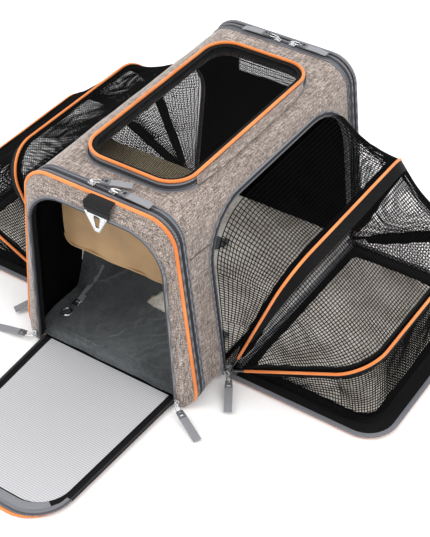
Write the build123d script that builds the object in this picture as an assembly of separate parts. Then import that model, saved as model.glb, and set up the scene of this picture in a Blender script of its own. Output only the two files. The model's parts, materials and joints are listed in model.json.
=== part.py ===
"""Soft-sided pet carrier with two fold-down sides, a fold-down front door and a top hatch.

Millimetres. X is across the cabin, Y along it (the door is at -Y), Z is up.
The origin is the middle of the cabin's underside. Every piece is drawn in its rest place:
both side panels and the front door lie open on the ground, and the hatch is closed.
"""

from math import cos, radians, sin
import os

from build123d import *

# Cabin tunnel
bottom_width = 282.0
top_width = 222.0
height = 291.0
bottom_round = 25.0
top_round = 38.0
wall = 5.0
shell_half = 195.0
zip_tape = 16.5
slip = 0.3

# Front ring and door
ring_front = -230.0
ring_back = -216.5
piping_r = 2.2
sleeve = 2.0
tab_x = 9.5
tab_width = 42.0
tab_height = 11.5
door_hinge_y = -221.5
door_hinge_z = 6.5
door_length = 262.0
door_base_half = 112.0
door_tip_half = 101.0
door_corner = 55.0
door_gap = 1.8

# Rear end
rear_plate = 9.0
window_bottom = 128.0
window_top = 262.0
window_half = 84.0

# Side openings and fold-out sides
arch_front = -150.0
arch_back = 188.0
arch_bottom = 12.0
arch_top = 256.0
arch_front_round = 70.0
arch_back_round = 88.0
tape_width = 7.0
tape_thick = 2.4
side_hinge_x = 143.0
side_hinge_z = 10.0
panel_reach = 232.0
panel_corner = 45.0
hoop_wire_r = 1.75
hoop_start = 5.0
upper_hoop = {"angle": 68.0, "reach": 219.0, "front": -138.0, "back": 178.0, "round": 52.0}
lower_hoop = {"angle": 27.0, "reach": 226.0, "front": -144.0, "back": 184.0, "round": 50.0}
gusset_skin = 0.8
skin_start = 25.0

# Flat panels: height of each layer above the ground
layer_low = 0.3
layer_top = 5.0
rim_low = 4.1
rim_top = 5.8
rim_width = 7.0
edge_piping_z = 2.1
edge_piping_r = 1.8
cord_inset = 4.9

# Top hatch
hatch_left = -70.0
hatch_right = 88.0
hatch_front = -167.0
hatch_back = 152.0
hatch_corner = 38.0
hatch_low = 292.4
hatch_top = 301.0
hatch_wall = 3.0
hatch_inset = 8.0

# Zip sliders and pulls
slider_length = 10.0
slider_width = 8.0
slider_thick = 3.2
pull_height = 7.0
pull_bar_r = 0.8
pull_width = 11.0

os.makedirs("parts", exist_ok=True)
nodes = {}


def keep(name, shape):
    """Stores a node under its name."""
    nodes[name] = shape


def both(name, shape):
    """Stores the right-hand piece and its mirror image on the left."""
    keep("right_" + name, shape)
    keep("left_" + name, mirror(shape, about=Plane.YZ))


# Cross-section of the cabin, in the XZ plane


def tunnel(inset, lift=0.0):
    """The cabin's cross-section, drawn inward by inset, with its underside raised by lift."""
    lean = (bottom_width - top_width) / 2 / height
    low, high = inset + lift, height - inset
    half_low = bottom_width / 2 - inset - lean * low
    half_high = bottom_width / 2 - inset - lean * high
    outline = Polygon((-half_low, low), (half_low, low), (half_high, high), (-half_high, high), align=None)
    corners = outline.vertices().sort_by(Axis.Y)
    outline = fillet(corners[:2], bottom_round - min(inset, bottom_round - 3))
    corners = [v for v in outline.vertices() if v.Y > height * 0.8]
    return fillet(corners, top_round - inset)


def along_y(sketch, front, back):
    """A section swept straight from y = front to y = back."""
    return Pos(0, back, 0) * extrude(Plane.XZ * sketch, amount=back - front)


def band(outer, inner, front, back):
    """A hollow stretch of tunnel between two insets."""
    return along_y(tunnel(outer) - tunnel(inner), front, back)


def section_tube(inset, y, radius):
    """A round cord that follows the cross-section, clear of the ground, at one place along the cabin."""
    lift = max(0.0, radius + slip - inset)
    path = (Plane.XZ.offset(-y) * tunnel(inset, lift)).faces()[0].outer_wire()
    start = Plane(origin=path @ 0, z_dir=path % 0)
    return sweep(start * Circle(radius), path=path)


# Outlines


def arch_outline(grow):
    """The side opening, in the YZ plane, made larger by grow. It is open at the bottom."""
    front, back, top = arch_front - grow, arch_back + grow, arch_top + grow
    low = arch_bottom
    outline = Polygon((front, low), (back, low), (back, top), (front, top), align=None)
    high = [v for v in outline.vertices() if v.Y > low + 1]
    first = [v for v in high if v.X < 0]
    outline = fillet(first, arch_front_round + grow)
    last = [v for v in outline.vertices() if v.Y > top - 0.1 and v.X > arch_back - 1]
    return fillet(last, arch_back_round + grow)


def door_outline(inset):
    """The door in plan, hinge edge at y = 0 and tip at y = door_length."""
    taper = (door_base_half - door_tip_half) / door_length
    base = door_base_half - inset
    tip_y = door_length - inset
    tip = door_base_half - taper * tip_y - inset
    start = max(inset, 1.0)
    outline = Polygon((-base, start), (base, start), (tip, tip_y), (-tip, tip_y), align=None)
    corners = [v for v in outline.vertices() if v.Y > tip_y - 1]
    return fillet(corners, door_corner - inset)


def panel_outline(inset):
    """A side panel in plan, hinge edge nearest the cabin."""
    low = side_hinge_x + 1.5 + inset
    high = side_hinge_x + panel_reach - inset
    front, back = arch_front + inset, arch_back + 2 - inset
    outline = Polygon((low, front), (high, front), (high, back), (low, back), align=None)
    corners = [v for v in outline.vertices() if v.X > high - 1]
    return fillet(corners, panel_corner - inset)


def hatch_outline(inset):
    """The top hatch in plan."""
    width = hatch_right - hatch_left - 2 * inset
    length = hatch_back - hatch_front - 2 * inset
    middle = Pos((hatch_right + hatch_left) / 2, (hatch_front + hatch_back) / 2)
    return middle * RectangleRounded(width, length, hatch_corner - inset)


def flat(sketch, low, high):
    """A flat layer between two heights."""
    return Pos(0, 0, low) * extrude(sketch, amount=high - low)


def on_ground(sketch):
    """Turns the door's plan so that it runs forward from its hinge."""
    return Pos(0, door_hinge_y, 0) * Rot(0, 0, 180) * sketch


def edge_loop(sketch, z, radius):
    """A closed round cord round the rim of a flat piece."""
    path = (Pos(0, 0, z) * sketch).faces()[0].outer_wire()
    start = Plane(origin=path @ 0, z_dir=path % 0)
    return sweep(start * Circle(radius), path=path)


def edge_cord(corners, corner_round, z, radius):
    """A round cord along three sides of a flat piece, open at its hinge edge."""
    path = Pos(0, 0, z) * FilletPolyline(*corners, radius=corner_round)
    start = Plane(origin=path @ 0, z_dir=path % 0)
    return sweep(start * Circle(radius), path=path)


# Cabin


def build_cabin():
    """The tunnel of the cabin, its floor, and what lies on the floor."""
    shell = band(0, wall, -shell_half, shell_half)
    sides = Plane.YZ.offset(-200) * arch_outline(0)
    shell -= extrude(sides, amount=400)
    roof_hole = Pos(0, 0, height - 30) * extrude(hatch_outline(hatch_inset), amount=60)
    shell -= roof_hole
    floor_cut = Pos(0, 0, wall / 2) * Box(bottom_width - 2 * bottom_round, 3 * shell_half, wall + 0.02)
    shell -= floor_cut
    keep("body_shell", shell)
    base = Box(bottom_width - 2 * bottom_round, 2 * shell_half, wall)
    keep("base_panel", Pos(0, 0, wall / 2) * base)
    board = extrude(RectangleRounded(230, 368, 12), amount=3)
    keep("base_board", Pos(0, 0, wall + 0.1) * board)
    mat = extrude(RectangleRounded(246, 364, 16), amount=9)
    keep("floor_mat", Pos(0, 0, wall + 3.3) * fillet(mat.edges().group_by(Axis.Z)[-1], 4))
    front_part = Pos(-4, -138) * RectangleRounded(232, 76, 14)
    left_part = Pos(-75, -52) * RectangleRounded(90, 226, 14)
    blanket = extrude(front_part + left_part, amount=2.4)
    keep("fleece_blanket", Pos(0, 0, wall + 12.6) * blanket)


def build_front():
    """The front ring that holds the door, its zip tape, piping and wire frame."""
    opening = Pos(0, door_hinge_z) * door_outline(-door_gap)
    plate = along_y(tunnel(0), ring_front, ring_back) - along_y(opening, ring_front - 5, ring_back + 5)
    ring = plate + band(wall + slip, wall + slip + sleeve, ring_back - 1, -shell_half + 6)
    toe_half = door_base_half + door_gap
    toe = Pos(0, (ring_front + door_hinge_y) / 2, 5) * Box(2 * toe_half, door_hinge_y - ring_front, 12)
    ring -= toe
    keep("front_ring", ring)
    keep("front_ring_zip", band(0, wall, -shell_half - zip_tape, -shell_half - slip))
    keep("front_piping", section_tube(0, ring_back + piping_r + slip, piping_r))
    keep("front_frame_wire", section_tube(wall + slip + sleeve + 2.2, -shell_half - 4, 1.6))


def build_rear():
    """The closed rear end with its window, zip tape, piping and wire frame."""
    tape_end = shell_half + zip_tape
    plate_front = tape_end + 2 * piping_r + 2 * slip
    plate = along_y(tunnel(0), plate_front, plate_front + rear_plate)
    sketch = Pos(0, (window_bottom + window_top) / 2) * RectangleRounded(
        2 * window_half, window_top - window_bottom, 30
    )
    plate -= along_y(sketch, plate_front - 1, plate_front + rear_plate + 1)
    plate += band(wall + slip, wall + slip + sleeve, shell_half - 6, plate_front)
    keep("rear_panel", plate)
    mesh = Pos(0, (window_bottom + window_top) / 2) * RectangleRounded(
        2 * window_half - 0.4, window_top - window_bottom - 0.4, 29.8
    )
    keep("rear_window_mesh", along_y(mesh, plate_front + 4, plate_front + 5.2))
    keep("rear_ring_zip", band(0, wall, shell_half + slip, tape_end))
    keep("rear_piping", section_tube(0, tape_end + piping_r + slip, piping_r))
    keep("rear_frame_wire", section_tube(wall + slip + sleeve + 2.2, shell_half + 4, 1.6))


def build_sunshade():
    """A cloth shade that runs under the roof and drops behind the door opening."""
    roof = Pos(0, -131, 262.6) * Box(180, 98, 1.2)
    keep("sunshade_roof", roof)
    drop = RectangleRounded(180, 106, 24) + Pos(0, 26) * Rectangle(180, 54)
    keep("sunshade_drop", along_y(Pos(0, 262 - 53 - 1) * drop, -183.4, -182.2))


def build_front_trim():
    """The webbing tab over the ring, its hanging metal ring, and the safety tether inside."""
    tab_low = height - tab_height
    tab = Pos(tab_x, ring_front - 1.3, tab_low + tab_height / 2) * Box(tab_width, 2.2, tab_height)
    tab = fillet(tab.edges().filter_by(Axis.Y), 4)
    keep("ring_tab", tab)
    outline = Polygon((-4, -30), (4, -30), (22, 0), (-22, 0), align=None)
    outline = fillet(outline.vertices(), 3)
    hole = Polygon((-3, -20), (3, -20), (9, -6.5), (-9, -6.5), align=None)
    triangle = outline - fillet(hole.vertices(), 2)
    keep("triangle_ring", along_y(Pos(tab_x, tab_low - slip) * triangle, ring_front - 2.1, ring_front - 0.5))
    strap = Pos(-102, -130, 21.4) * Box(10, 80, 1.4)
    clip = Pos(-100, -180, 22.4) * Box(14, 22, 4)
    keep("safety_tether", Compound([strap + clip]))


# Flat fold-down panels


def build_door():
    """The front door lying open: board, ribbed lining, zip rim and edge piping."""
    keep("door_panel", flat(on_ground(door_outline(rim_width + slip)), layer_low, layer_top))
    lining = flat(on_ground(door_outline(18)), layer_top + 0.1, layer_top + 0.9)
    keep("door_lining", lining)
    keep("door_zip", flat(on_ground(door_outline(0) - door_outline(rim_width)), rim_low, rim_top))
    base, tip = door_base_half - cord_inset, door_tip_half - cord_inset
    base_y, tip_y = door_hinge_y - 4, door_hinge_y - door_length + cord_inset
    corners = [(-base, base_y), (-tip, tip_y), (tip, tip_y), (base, base_y)]
    keep("door_piping", edge_cord(corners, door_corner - cord_inset, edge_piping_z, edge_piping_r))


def build_side_panels():
    """Each side panel lying open: board with rim, pad and edge piping."""
    board = flat(panel_outline(rim_width), layer_low, layer_top)
    board += flat(panel_outline(0) - panel_outline(rim_width), rim_low, rim_top)
    both("panel", board)
    both("panel_pad", flat(panel_outline(15), layer_top + 0.1, layer_top + 1.6))
    near, far = side_hinge_x + 4, side_hinge_x + panel_reach - cord_inset
    front, back = arch_front + cord_inset, arch_back + 2 - cord_inset
    corners = [(near, front), (far, front), (far, back), (near, back)]
    both("panel_piping", edge_cord(corners, panel_corner - cord_inset, edge_piping_z, edge_piping_r))


# Side hoops and gussets


def hoop_plane(angle):
    """The plane of a hoop: local x runs along the cabin, local y away from the hinge."""
    turn = radians(angle)
    return Plane(
        origin=(side_hinge_x, 0, side_hinge_z),
        x_dir=(0, 1, 0),
        z_dir=(sin(turn), 0, -cos(turn)),
    )


def hoop_points(hoop, inset, start):
    """The corners of a hoop, from one end at the hinge to the other."""
    front, back, reach = hoop["front"] + inset, hoop["back"] - inset, hoop["reach"] - inset
    return [(front, start), (front, reach), (back, reach), (back, start)]


def hoop_wire(hoop):
    """A bent wire with an eye at each end on the hinge line."""
    corners = hoop_points(hoop, 0, hoop_start)
    path = hoop_plane(hoop["angle"]) * FilletPolyline(*corners, radius=hoop["round"])
    start = Plane(origin=path @ 0, z_dir=path % 0)
    wire = sweep(start * Circle(hoop_wire_r), path=path)
    for y in (hoop["front"], hoop["back"]):
        eye = Pos(side_hinge_x, y, side_hinge_z) * Rot(90, 0, 0) * Cylinder(3.4, 4.4)
        wire += eye
    for y in (hoop["front"], hoop["back"]):
        wire -= Pos(side_hinge_x, y, side_hinge_z) * Rot(90, 0, 0) * Cylinder(1.6, 6)
    return wire


def skin_face(hoop, angle, inset):
    """A thin U of cloth in the plane of a hoop."""
    outer = make_face(
        FilletPolyline(*hoop_points(hoop, inset, skin_start), radius=hoop["round"] - inset)
        + Line((hoop["back"] - inset, skin_start), (hoop["front"] + inset, skin_start))
    )
    deep = inset + gusset_skin
    inner = make_face(
        FilletPolyline(*hoop_points(hoop, deep, skin_start), radius=hoop["round"] - deep)
        + Line((hoop["back"] - deep, skin_start), (hoop["front"] + deep, skin_start))
    )
    return hoop_plane(angle) * (outer - inner)


def build_sides():
    """Two wire hoops a side, and the mesh gusset that joins cabin, hoops and panel."""
    both("hoop_upper", hoop_wire(upper_hoop))
    both("hoop_lower", hoop_wire(lower_hoop))
    arch_edge = {"front": arch_front, "back": arch_back, "reach": 244.0, "round": arch_front_round}
    rim = {"front": arch_front + 9, "back": arch_back - 7, "reach": 222.0, "round": panel_corner}
    joins = [
        (arch_edge, 94.0, 0.5, upper_hoop, upper_hoop["angle"] + 0.8, 3.0),
        (upper_hoop, upper_hoop["angle"] - 0.8, 3.0, lower_hoop, lower_hoop["angle"] + 0.8, 2.3),
        (lower_hoop, lower_hoop["angle"] - 0.8, 2.3, rim, 1.2, 0.5),
    ]
    skins = []
    for first, first_angle, first_inset, last, last_angle, last_inset in joins:
        faces = [skin_face(first, first_angle, first_inset), skin_face(last, last_angle, last_inset)]
        skins.append(loft(faces, ruled=True))
    both("gusset", Compound(skins))


def build_arch_zips():
    """Zip tape round each side opening, on the outside of the tunnel wall."""
    layer = band(-tape_thick, 0, arch_front - 20, arch_back + 20)
    tape = Plane.YZ.offset(60) * (arch_outline(tape_width) - arch_outline(0))
    both("arch_zip", layer & extrude(tape, amount=120))


# Top hatch


def build_hatch():
    """The raised mesh hatch, its zip on the roof and its cloth hinge."""
    keep("hatch_rim", flat(hatch_outline(0) - hatch_outline(hatch_wall), hatch_low, hatch_top))
    keep("hatch_mesh", flat(hatch_outline(0), hatch_top + 0.05, hatch_top + 0.85))
    keep("hatch_piping", edge_loop(hatch_outline(piping_r), hatch_top + 0.95 + piping_r, piping_r))
    tape = hatch_outline(-2) - hatch_outline(hatch_inset - 0.2)
    tape = tape & (Pos(8, -7.5) * Rectangle(152, 400))
    layer = flat(tape, height - 40, hatch_low - 0.3) & band(-1.0, 0, -shell_half, shell_half)
    keep("top_opening_zip", layer)
    fold = Pos(hatch_right + 3.4, -5, 294.4) * Box(1.6, 230, 11.8)
    keep("hatch_hinge_fold", fold)


# Zip sliders


def slider_pair(name, origin, track, normal, pull_dir, up_dir, pull_length):
    """A slider on its tape, and the pull that swings on it."""
    seat = Plane(origin=origin, x_dir=track, z_dir=normal)
    body = Pos(0, 0, slider_thick / 2 + slip) * Box(slider_length, slider_width, slider_thick)
    body = fillet(body.edges().filter_by(Axis.Z), 2.2)
    slider = seat * body
    normal_dir = Vector(*normal).normalized()
    centre = Vector(*origin) + normal_dir * pull_height
    swing = Plane(origin=centre, x_dir=pull_dir, z_dir=up_dir)
    slider += swing * (Rot(90, 0, 0) * Cylinder(pull_bar_r, 7.4))
    if abs(swing.y_dir.dot(normal_dir)) < 0.5:
        for side in (-1, 1):
            rise = pull_height - slider_thick / 2
            slider += swing * (Pos(0, side * 3.2, 0.6 - rise / 2) * Box(2.2, 1.0, rise))
    eye = Rot(90, 0, 0) * (Cylinder(2.1, 4.2) - Cylinder(1.15, 6))
    link = Pos(7.5, 0, 0) * Box(11.4, 4.2, 1.2)
    clip = Pos(17.5, 0, 0) * fillet(Box(12, 9, 3.2).edges().filter_by(Axis.Z), 2)
    ribbon_length = pull_length - 22
    ribbon = Pos(22 + ribbon_length / 2, 0, 0) * Box(ribbon_length, pull_width, 1.2)
    keep(name + "_slider", slider)
    keep(name + "_pull", swing * (eye + link + clip + ribbon))


def build_sliders():
    """Every slider, parked where it rests with the panels open."""
    roof = height
    up = (0, 0, 1)
    lean = (bottom_width - top_width) / 2 / height
    front_y = -shell_half - zip_tape / 2
    rear_y = shell_half + zip_tape / 2
    slant = (cos(radians(22)), sin(radians(22)), 0)
    slider_pair("front_left", (-18, front_y, roof), (1, 0, 0), up, slant, up, 52)
    slider_pair("front_right", (14, front_y, roof), (1, 0, 0), up, (1, 0, 0), up, 58)
    slider_pair("rear_left", (-4, rear_y, roof), (1, 0, 0), up, (-1, 0, 0), up, 56)
    slider_pair("rear_right", (20, rear_y, roof), (1, 0, 0), up, (1, 0, 0), up, 56)
    door_lean = (door_base_half - door_tip_half) / door_length
    for name, side, reach in (("door_right", 1, (0.88, -0.45)), ("door_left", -1, (-0.985, -0.09))):
        place = (side * (door_base_half + door_gap + slider_width / 2 + 1.2), ring_front, 13)
        track = (-side * door_lean, 0, 1)
        flow = Vector(reach[0], reach[1], -0.15).normalized()
        lift = Vector(0, 0, 1) - flow * flow.Z
        slider_pair(name, place, track, (0, -1, 0), tuple(flow), tuple(lift.normalized()), 62)
    for name, side in (("right_arch", 1), ("left_arch", -1)):
        z = 16.0
        x = bottom_width / 2 - lean * z + tape_thick + 0.2
        place = (side * x, arch_front - tape_width + 2.2, z)
        flow = Vector(side * 0.52, -0.84, -0.17).normalized()
        lift = Vector(0, 0, 1) - flow * flow.Z
        track = (-side * lean, 0, 1)
        out = Vector(side, 0, lean).normalized()
        slider_pair(name, place, track, tuple(out), tuple(flow), tuple(lift.normalized()), 60)
    hatch_slider = Pos(hatch_left - 6.5, 46, height + 1.9) * Box(slider_width, slider_length, slider_thick)
    keep("hatch_slider", hatch_slider)


build_cabin()
build_front()
build_rear()
build_sunshade()
build_front_trim()
build_door()
build_side_panels()
build_sides()
build_arch_zips()
build_hatch()
build_sliders()

for node, shape in nodes.items():
    export_step(shape, f"parts/{node}.step")
print(len(nodes), "nodes written")
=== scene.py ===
import json
import math
import random

import bmesh
import bpy
from mathutils import Matrix, Vector, noise


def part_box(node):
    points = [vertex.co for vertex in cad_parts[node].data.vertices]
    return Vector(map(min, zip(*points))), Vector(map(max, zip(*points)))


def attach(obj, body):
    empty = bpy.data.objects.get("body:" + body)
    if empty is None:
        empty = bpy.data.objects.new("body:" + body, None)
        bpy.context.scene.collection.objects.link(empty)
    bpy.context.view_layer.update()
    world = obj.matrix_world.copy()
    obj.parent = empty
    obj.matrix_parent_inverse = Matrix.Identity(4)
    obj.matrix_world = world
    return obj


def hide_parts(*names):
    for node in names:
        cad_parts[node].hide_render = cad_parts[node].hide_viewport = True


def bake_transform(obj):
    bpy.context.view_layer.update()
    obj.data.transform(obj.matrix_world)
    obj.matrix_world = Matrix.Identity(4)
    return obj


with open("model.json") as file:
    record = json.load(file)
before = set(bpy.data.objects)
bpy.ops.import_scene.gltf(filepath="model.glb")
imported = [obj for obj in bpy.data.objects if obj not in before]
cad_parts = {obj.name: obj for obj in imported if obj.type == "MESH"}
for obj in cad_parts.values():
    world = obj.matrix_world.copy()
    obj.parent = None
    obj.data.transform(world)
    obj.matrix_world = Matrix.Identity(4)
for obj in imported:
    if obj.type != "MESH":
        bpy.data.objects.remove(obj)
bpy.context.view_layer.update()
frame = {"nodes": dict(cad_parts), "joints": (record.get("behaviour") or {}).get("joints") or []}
mm = 0.001
random.seed(11)
scene = bpy.context.scene
bpy.context.tool_settings.mesh_select_mode = (True, False, False)


def boxOf(node):
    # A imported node's box, in mm.
    low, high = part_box(node)
    return [value / mm for value in low], [value / mm for value in high]


shellHigh = boxOf("body_shell")[1]
rearHigh = boxOf("rear_panel")[1]
hatchLow, hatchHigh = boxOf("hatch_rim")

cabin = {
    "bottomWidth": 282.0, "topWidth": 222.0, "height": shellHigh[2], "half": shellHigh[1],
    "bottomRound": 25.0, "topRound": 38.0, "wall": 4.6,
}
arch = {"angle": 94.4, "front": -150.0, "back": 188.0, "reach": 243.5, "round": 72.0, "start": 16.0}
upperHoop = {"angle": 68.0, "front": -138.0, "back": 178.0, "reach": 219.0, "round": 52.0, "start": 5.0}
lowerHoop = {"angle": 27.0, "front": -144.0, "back": 184.0, "reach": 226.0, "round": 50.0, "start": 5.0}
rimHoop = {"angle": 1.4, "front": -134.0, "back": 174.0, "reach": 208.0, "round": 42.0, "start": 8.0}
sideHinge = {"x": 143.0, "z": 10.0}
doorPlan = {"hinge": -221.5, "length": 262.0, "base": 112.0, "tip": 101.0, "round": 55.0}
wallLean = (cabin["bottomWidth"] - cabin["topWidth"]) / 2 / cabin["height"]   # mm inwards for each mm up
doorTaper = (doorPlan["base"] - doorPlan["tip"]) / doorPlan["length"]


def linear(code):
    # sRGB hex to a linear colour.
    parts = [int(code[place:place + 2], 16) / 255 for place in (1, 3, 5)]
    return tuple(p / 12.92 if p <= 0.04045 else ((p + 0.055) / 1.055) ** 2.4 for p in parts) + (1.0,)


def addNode(material, kind, settings=None, links=None):
    node = material.node_tree.nodes.new(kind)
    for name, value in (settings or {}).items():
        if name == "stops":
            ramp = node.color_ramp.elements
            while len(ramp) < len(value):
                ramp.new(0.5)
            for stop, (place, code) in zip(ramp, value):
                stop.position = place
                stop.color = linear(code)
        elif isinstance(name, int) or name in node.inputs:
            node.inputs[name].default_value = value
        else:
            setattr(node, name, value)
    for name, source in (links or {}).items():
        material.node_tree.links.new(source, node.inputs[name])
    return node


def newFinish(name, **settings):
    material = bpy.data.materials.new(name)
    material.use_nodes = True
    shader = material.node_tree.nodes["Principled BSDF"]
    for socket, value in settings.items():
        shader.inputs[socket.replace("_", " ")].default_value = value
    return material, shader


def joinTo(material, source, shader, socket):
    material.node_tree.links.new(source, shader.inputs[socket])


def addNoise(material, coords, scale, detail, **more):
    return addNode(material, "ShaderNodeTexNoise", {"Scale": scale, "Detail": detail, **more},
                   {"Vector": coords}).outputs["Fac"]


def objectCoords(material):
    return addNode(material, "ShaderNodeTexCoord").outputs["Object"]


def meanOf(material, *sources):
    total = sources[0]
    for source in sources[1:]:
        total = addNode(material, "ShaderNodeMath", {"operation": "ADD"}, {0: total, 1: source}).outputs[0]
    share = round(1 / len(sources), 4)
    return addNode(material, "ShaderNodeMath", {"operation": "MULTIPLY", 1: share}, {0: total}).outputs[0]


def colourBy(material, shader, source, stops):
    ramp = addNode(material, "ShaderNodeValToRGB", {"stops": stops}, {"Fac": source})
    joinTo(material, ramp.outputs["Color"], shader, "Base Color")


def dullBy(material, shader, source, low, high):
    dull = addNode(material, "ShaderNodeMapRange", {"To Min": low, "To Max": high}, {"Value": source})
    joinTo(material, dull.outputs[0], shader, "Roughness")


def reliefBy(material, shader, source, strength, depth):
    relief = addNode(material, "ShaderNodeBump", {"Strength": strength, "Distance": depth * mm}, {"Height": source})
    joinTo(material, relief.outputs[0], shader, "Normal")


def heatherFinish(name="heatherPolyester"):
    # Two tones of thread cross, so the streaks run both ways.
    look = {"long": 13.0, "wide": 1.35, "stops": [
        (0.38, "#3f3835"), (0.455, "#6d635d"), (0.51, "#8c8079"), (0.565, "#aa9e96"), (0.64, "#cdc2ba")]}
    material, shader = newFinish(name, Roughness=0.85, Sheen_Weight=0.25, Sheen_Roughness=0.5)
    coords = objectCoords(material)
    slow, fast = 1000 / look["long"], 1000 / look["wide"]
    threads = []
    for scales in ((slow, fast, fast), (fast, slow, fast), (fast, fast, slow)):
        turned = addNode(material, "ShaderNodeMapping", {"Scale": scales}, {"Vector": coords})
        threads.append(addNoise(material, turned.outputs[0], 1.0, 2.5, Roughness=0.6))
    mean = meanOf(material, *threads)
    colourBy(material, shader, mean, look["stops"])
    reliefBy(material, shader, mean, 0.35, 0.6)
    return material


def clothFinish(name, dark, light, thread=1.2, roughness=0.85, sheen=0.2, bump=0.4, slow=60.0, fuzz=2.0,
                gloss=0.4):
    # Plain woven or knitted cloth: fine thread noise over a slow change of tone.
    material, shader = newFinish(name, Roughness=roughness, Sheen_Weight=sheen, Specular_IOR_Level=gloss)
    coords = objectCoords(material)
    fine = addNoise(material, coords, 1000 / thread, fuzz)
    broad = addNoise(material, coords, 1000 / slow, 2.0)
    colourBy(material, shader, meanOf(material, fine, broad), [(0.36, dark), (0.64, light)])
    reliefBy(material, shader, fine, bump, 0.8)
    return material


def ribbedFinish(name, dark, light, pitch, turn, roughness=0.8, bump=0.5, gloss=0.4):
    # Ribbed or twilled cloth: straight ribs at a real spacing.
    material, shader = newFinish(name, Roughness=roughness, Sheen_Weight=gloss / 4, Specular_IOR_Level=gloss)
    turned = addNode(material, "ShaderNodeMapping", {"Rotation": turn}, {"Vector": objectCoords(material)})
    ribs = addNode(material, "ShaderNodeTexWave",
                   {"Scale": math.pi * 100 / pitch, "Distortion": 0.4, "Detail": 1.0,
                    "Detail Scale": 2.0}, {"Vector": turned.outputs[0]}).outputs["Fac"]
    colourBy(material, shader, ribs, [(0.15, dark), (0.75, light)])
    reliefBy(material, shader, ribs, bump, 0.6)
    return material


def metalFinish(name, tone, roughness, grain=0.6):
    # Nickel-plated die casting or bent wire: bright, with light rubbing marks.
    material, shader = newFinish(name, Metallic=1.0)
    rub = addNoise(material, objectCoords(material), 1000 / grain / 4, 3.0)
    colourBy(material, shader, rub, [(0.3, tone[0]), (0.7, tone[1])])
    dullBy(material, shader, rub, roughness - 0.07, roughness + 0.1)
    return material


def plasticFinish(name, dark, light, roughness=0.42, peel=0.5, gloss=0.5):
    # Moulded plastic: faint orange-peel, slightly uneven gloss.
    material, shader = newFinish(name, Specular_IOR_Level=gloss)
    skin = addNoise(material, objectCoords(material), 1000 / peel / 3, 3.0)
    colourBy(material, shader, skin, [(0.3, dark), (0.7, light)])
    dullBy(material, shader, skin, roughness - 0.06, roughness + 0.08)
    reliefBy(material, shader, skin, 0.12, 0.3)
    return material


heather = heatherFinish()
orangeCord = clothFinish("orangeWovenPiping", "#cf7435", "#e8965a", thread=0.9, roughness=0.7, bump=0.5)
greyTape = ribbedFinish("greyZipTape", "#6b6c71", "#8f9095", 1.1, (0, 0, 0), bump=0.35)
greyBinding = ribbedFinish("greyGrosgrainBinding", "#626368", "#85868b", 1.3, (0, 0, 0.8), bump=0.4)
coilNylon = plasticFinish("greyZipCoil", "#2f3034", "#46474c", 0.45)
blackNet = plasticFinish("blackPolyesterNet", "#050506", "#0d0d0e", 0.6, gloss=0.12)
blackLining = clothFinish("blackOxfordLining", "#050505", "#101011", thread=1.0, roughness=0.85, sheen=0.0,
                          bump=0.5, gloss=0.08)
blackTape = ribbedFinish("blackBindingTape", "#0d0d0e", "#1e1e20", 1.2, (0, 0, 0.4), bump=0.4, gloss=0.15)
darkFleece = clothFinish("darkGreyFleece", "#36393b", "#575b5d", thread=2.2, roughness=0.95, sheen=0.5)
lightFleece = clothFinish("beigeFleece", "#b5ada1", "#f5f1ea", thread=2.6, roughness=0.95, sheen=0.5)
tanNylon = clothFinish("tanNylonTaffeta", "#93795a", "#ab8d68", thread=0.7, roughness=0.55, sheen=0.1,
                       bump=0.25, slow=45.0)
# a paler copy of the tan nylon: painted light that brightens the sunshade's roof strip, which lies in shade under
# the hatch net
tanPaintedLight = clothFinish("tanNylonReverse", "#b8a88b", "#d2c5a9", thread=0.8, roughness=0.7, sheen=0.1)
ribLining = ribbedFinish("lightGreyRibbedLining", "#a3a3a6", "#bfbfc2", 3.0, (0, 0, math.pi / 2), bump=0.35)
baseCloth = clothFinish("coatedBaseCloth", "#17171a", "#26262a", thread=1.1, roughness=0.6)
boardFinish = plasticFinish("greyStiffenerBoard", "#3a3b3d", "#4a4b4d", 0.55)
springSteel = metalFinish("springSteelWire", ("#8d8f92", "#b4b6b8"), 0.32)
nickel = metalFinish("nickelPlatedZinc", ("#b9bbbd", "#e4e5e6"), 0.24)
clipPlastic = plasticFinish("greyMouldedClip", "#5c5d61", "#75767a", 0.45)
pullRibbon = ribbedFinish("greyPullRibbon", "#77787c", "#97989c", 1.0, (0, 0, 0.3), bump=0.35)
webbing = ribbedFinish("blackWebbing", "#0b0b0c", "#1f1f21", 1.4, (0, 0, 1.57), bump=0.6)
seamThread = clothFinish("taupeSeamThread", "#4b443f", "#6a615b", thread=0.8)
print("materials ready")


def within(share):
    return min(1.0, max(0.0, share))


def alone(piece):
    bpy.ops.object.select_all(action="DESELECT")
    piece.select_set(True)
    bpy.context.view_layer.objects.active = piece


def editAll(piece):
    alone(piece)
    bpy.ops.object.mode_set(mode="EDIT")
    bpy.ops.mesh.select_all(action="SELECT")


def editDone():
    bpy.ops.object.mode_set(mode="OBJECT")


def pickWhere(piece, test, kind="verts"):
    # Selects what passes a test, in edit mode.
    bpy.ops.mesh.select_all(action="DESELECT")
    mesh = bmesh.from_edit_mesh(piece.data)
    for item in getattr(mesh, kind):
        centre = item.co if kind == "verts" else sum((v.co for v in item.verts), Vector()) / len(item.verts)
        if test(centre / mm):
            item.select_set(True)
    mesh.select_flush_mode()
    bmesh.update_edit_mesh(piece.data)


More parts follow.
